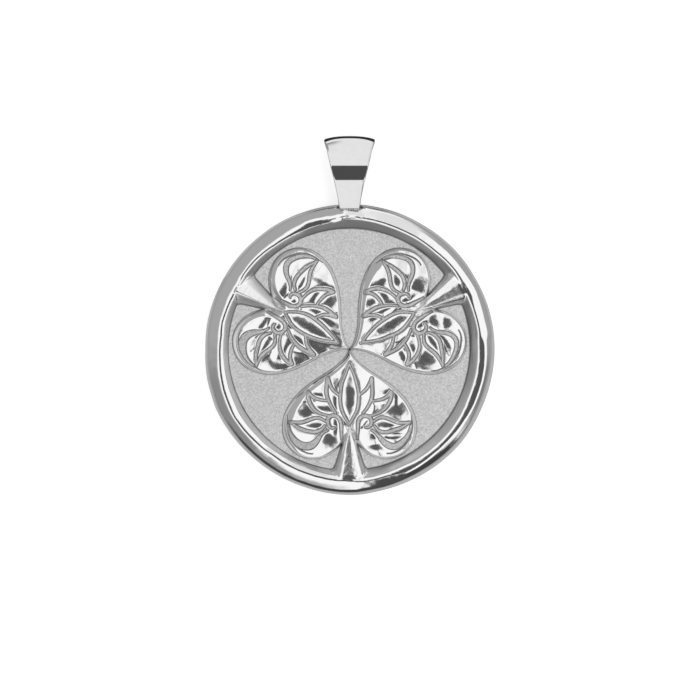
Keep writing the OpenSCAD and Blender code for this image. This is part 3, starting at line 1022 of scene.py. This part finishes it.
def make_root(material, count=40, around=48, square=0.3):
    """Solder that fills the bail between its legs beside the rim: a lump with a hollow free side.

    Across the bail it is a little wider than the strip. Its section, squarer than an ellipse, runs
    from the back leg up to the arc of the front leg. Its free side is hollow by (2 up - 1)^2,
    where up is the part of that height.
    """
    x = np.linspace(-1, 1, count)[:, None]
    turn = np.arange(around) * 2 * math.pi / around
    up = 0.5 + 0.5 * np.sin(turn)
    free = COIN_R + ROOT_RISE + ROOT_HOLLOW * (2 * up - 1) ** 2
    bulge = FOOT_Y + (free - FOOT_Y) * np.abs(np.cos(turn)) ** square
    y = np.where(np.cos(turn) > 0, bulge, FOOT_Y - 0.2)
    top = LEG_Z + np.sqrt((LEG_R - STRIP_T) ** 2 - (CREST_Y - y) ** 2) + ROOT_INTO
    z = ROOT_Z + (top - ROOT_Z) * up
    share = (y - FOOT_Y) / (TOP_Y - FOOT_Y)
    half_w = np.interp(share, BAIL_WIDTHS[:, 0], BAIL_WIDTHS[:, 1]) + ROOT_WIDER
    lumps = 0.03 * ripples(x * 1.2, z, length=0.6, seed=62)
    loops = np.stack((x * half_w, y + lumps * (y > FOOT_Y), np.repeat(z[None], count, 0)), -1)
    return closed_skin("solder_root", loops, material)


# Studio

# Cards round the pendant as the silver sees them, in degrees: heading of the middle, half width
# and its softness, where it starts and ends below overhead, and their softness. Last is the tone.
CARDS = (
    (160.5, 67.5, 2.5, 29.0, 180.0, 3.0, 0.39),
    (209.5, 26.5, 10.0, 37.0, 180.0, 4.0, 0.265),
    (15.0, 50.0, 8.0, 60.0, 180.0, 3.0, 0.36),
    (344.0, 14.0, 12.0, 56.0, 120.0, 5.0, 0.20),
    (70.0, 12.0, 8.0, 12.0, 80.0, 5.0, 0.78),
    (250.0, 14.0, 8.0, 52.0, 110.0, 12.0, 0.42),
    (238.0, 7.0, 3.0, 52.0, 180.0, 5.0, 0.30),
    (262.0, 46.0, 8.0, 76.0, 120.0, 4.0, 0.05),
    (300.0, 14.0, 5.0, 49.0, 120.0, 6.0, 0.06),
    (306.0, 14.0, 5.0, 64.0, 120.0, 5.0, 0.05),
    (285.0, 4.6, 1.2, 10.0, 120.0, 1.5, 0.07),
)
# The dark lens overhead: half angle and its softness in degrees, and its tone
LENS_HALF_ANGLE = 9.4
LENS_SOFT = 0.5
LENS_TONE = 0.088


def studio_world():
    """A white tent with a dark hole overhead for the lens, and grey and dark cards at its sides.

    Only the silver sees the cards: straight to the lens the tent is plain white.
    """
    world = bpy.data.worlds.new("light_tent")
    bpy.context.scene.world = world
    world.use_nodes = True
    n = Nodes(world.node_tree)
    background = world.node_tree.nodes["Background"]
    x, y, z = n.parts(n.add("ShaderNodeTexCoord").outputs["Generated"])
    below = n.math("DEGREES", n.math("ARCCOSINE", z))
    flat = n.math("MAXIMUM", n.distance(x, y), 0.0001)
    tone = grey(1.0)
    for middle, half, soft, start, end, soft_end, level in CARDS:
        turn = math.radians(middle)
        sideways = n.math("MULTIPLY", y, math.sin(turn))
        toward = n.math("MULTIPLY_ADD", x, math.cos(turn), sideways)
        off = n.math("DEGREES", n.math("ARCCOSINE", n.math("DIVIDE", toward, flat)))
        mask = n.span(off, half + soft, half - soft)
        mask = n.math("MULTIPLY", mask, n.span(below, start - soft_end, start + soft_end))
        mask = n.math("MULTIPLY", mask, n.span(below, end + soft_end, end - soft_end))
        tone = n.mix(mask, tone, grey(level))
    lens = n.span(below, LENS_HALF_ANGLE + LENS_SOFT, LENS_HALF_ANGLE - LENS_SOFT)
    tone = n.mix(lens, tone, grey(LENS_TONE))
    seen = n.add("ShaderNodeLightPath").outputs["Is Camera Ray"]
    n.join(n.mix(seen, tone, grey(1.0)), background.inputs["Color"])


def studio_floor():
    """A pale floor that the pendant lies on. The silver sees it greyer than the lens does.

    The silver sees it in zones, in metres: grey round the coin and darker further out and under
    the bail, nearly black below the coin and just above the bail, and white beyond that.
    """
    size = 4.0
    corners = [(-size, -size, 0), (size, -size, 0), (size, size, 0), (-size, size, 0)]
    mesh = bpy.data.meshes.new("pale_floor")
    mesh.from_pydata(corners, [], [(0, 1, 2, 3)])
    floor = bpy.data.objects.new("pale_floor", mesh)
    bpy.context.scene.collection.objects.link(floor)
    material = bpy.data.materials.new("pale_floor")
    material.use_nodes = True
    n = Nodes(material.node_tree)
    surface = material.node_tree.nodes["Principled BSDF"]
    x, y, _ = n.parts(n.place())
    off_middle = n.math("ABSOLUTE", x)
    further_out = n.span(n.distance(x, y), 0.0180, 0.0215)
    under_bail = n.math("MULTIPLY", n.span(y, 0.0100, 0.0130), n.span(off_middle, 0.0065, 0.0045))
    below_coin = n.span(y, -0.0205, -0.0250)
    above_bail = n.math("MULTIPLY", n.span(y, 0.0195, 0.0205), n.span(off_middle, 0.0070, 0.0050))
    narrow = n.span(n.math("DIVIDE", off_middle, y), 0.20, 0.13)
    beyond = n.math("MULTIPLY", n.span(y, 0.0255, 0.0265), narrow)
    mirrored = n.mix(n.math("MAXIMUM", under_bail, further_out), grey(0.47), grey(0.34))
    mirrored = n.mix(below_coin, mirrored, grey(0.06))
    mirrored = n.mix(above_bail, mirrored, grey(0.035))
    mirrored = n.mix(beyond, mirrored, grey(1.0))
    seen = n.add("ShaderNodeLightPath").outputs["Is Camera Ray"]
    n.join(n.mix(seen, grey(0.0), grey(0.90)), surface.inputs["Base Color"])
    n.join(n.mix(seen, mirrored, grey(0.6)), surface.inputs["Emission Color"])
    surface.inputs["Emission Strength"].default_value = 1.0
    surface.inputs["Roughness"].default_value = 0.9
    surface.inputs["Specular IOR Level"].default_value = 0.0
    mesh.materials.append(material)


def studio_camera():
    """Straight above the coin, with the bail to the top of the picture.

    It is so far off that the picture is 67.48 mm wide at the height where the coin is widest.
    """
    view_mm = 67.48
    picture, coin_across, coin_down = 700, 349.5, 349.6
    pixel = view_mm / picture
    data = bpy.data.cameras.new("camera")
    data.lens, data.sensor_width = 100.0, 36.0
    data.clip_start, data.clip_end = 0.01, 10.0
    camera = bpy.data.objects.new("camera", data)
    camera.location = (
        (picture / 2 - coin_across) * pixel * MM,
        (coin_down - picture / 2) * pixel * MM,
        (view_mm * data.lens / data.sensor_width + SIDE_H) * MM,
    )
    bpy.context.scene.collection.objects.link(camera)
    bpy.context.scene.camera = camera


studio_world()
studio_floor()
studio_camera()
bpy.context.scene.view_settings.view_transform = "Standard"

groups = {"hand_polish": hand_polish_group(), "sandblast": sandblast_group()}
rim = cast_silver(groups, "rim_silver", roughness=0.05, scratches=0.35, blast_tone=0.765)
leaves = cast_silver(groups, "leaf_silver", roughness=0.10, scratches=0.15, blast_tone=0.68)
make_coin(rim)
for number, heading in enumerate(LEAF_HEADINGS, 1):
    make_leaf(number, heading, leaves)
make_bail(bail_silver(groups))
solder = solder_silver(groups)
make_solder(solder)
make_root(solder)
